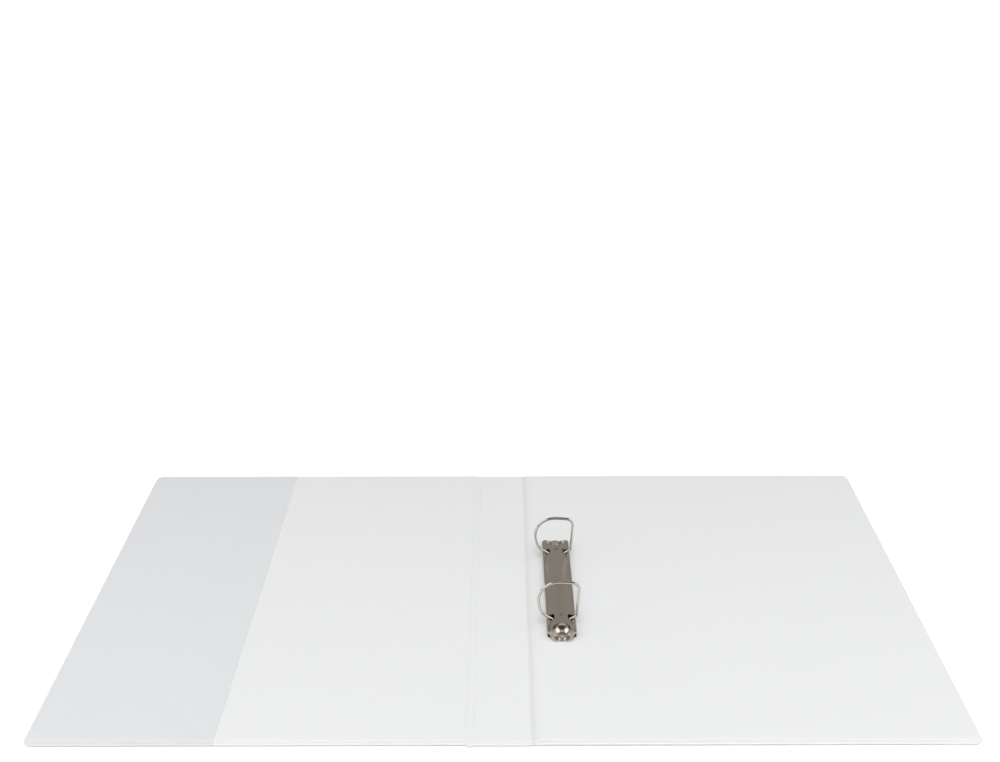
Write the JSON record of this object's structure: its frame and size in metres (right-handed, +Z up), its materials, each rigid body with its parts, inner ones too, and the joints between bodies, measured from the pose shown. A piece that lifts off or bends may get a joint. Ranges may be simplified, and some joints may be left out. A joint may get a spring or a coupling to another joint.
{
  "type": "ring binder",
  "caption": "White presentation ring binder lying open, with clear outer pockets, a clear inner pocket and a snap ring mechanism on the back cover.",
  "frame": {"origin": "on the surface the open binder lies on, under the middle of its footprint, which is the middle of the spine", "axes": "+X towards the back cover, which holds the rings; +Y towards the top of the page; +Z up, out of the inside faces"},
  "size_m": [0.572, 0.317, 0.0386],
  "materials": {
    "white_vinyl": "satin",
    "clear_film": "gloss",
    "greyboard": "matte",
    "plated_steel": "polished"
  },
  "bodies": {
    "back_cover": {"back_board": "greyboard", "back_outer_skin": "white_vinyl", "back_inner_lining": "white_vinyl", "back_clear_overlay": "clear_film", "ring_housing": "plated_steel", "housing_rivets": "plated_steel", "back_hinge_weld": "white_vinyl"},
    "spine": {"spine_board": "greyboard", "spine_outer_skin": "white_vinyl", "spine_inner_lining": "white_vinyl", "spine_clear_overlay": "clear_film", "front_hinge_weld": "white_vinyl"},
    "front_cover": {"front_board": "greyboard", "front_outer_skin": "white_vinyl", "front_inner_lining": "white_vinyl", "front_clear_overlay": "clear_film", "front_inner_pocket": "clear_film"},
    "left_jaw": {"left_rail": "plated_steel", "upper_curved_half_ring": "plated_steel", "lower_curved_half_ring": "plated_steel"},
    "right_jaw": {"right_rail": "plated_steel", "upper_straight_half_ring": "plated_steel", "lower_straight_half_ring": "plated_steel"}
  },
  "joints": [
    {"name": "back_hinge", "type": "hinge", "parent": "back_cover", "child": "spine", "pos_m": [0.0195, 0, 0.0022], "axis": [0, 1, 0], "range_deg": [0, 90], "deforming": ["back_hinge_weld"]},
    {"name": "front_hinge", "type": "hinge", "parent": "spine", "child": "front_cover", "pos_m": [-0.0195, 0, 0.0022], "axis": [0, 1, 0], "range_deg": [0, 90], "deforming": ["front_hinge_weld"]},
    {"name": "left_jaw_turn", "type": "hinge", "parent": "back_cover", "child": "left_jaw", "pos_m": [0.0312, -0.005, 0.00455], "axis": [0, -1, 0], "range_deg": [0, 10]},
    {"name": "right_jaw_turn", "type": "hinge", "parent": "back_cover", "child": "right_jaw", "pos_m": [0.0482, -0.005, 0.00455], "axis": [0, 1, 0], "range_deg": [0, 10]}
  ],
  "couplings": [
    {"joint": "right_jaw_turn", "follows": "left_jaw_turn", "ratio": 1}
  ]
}
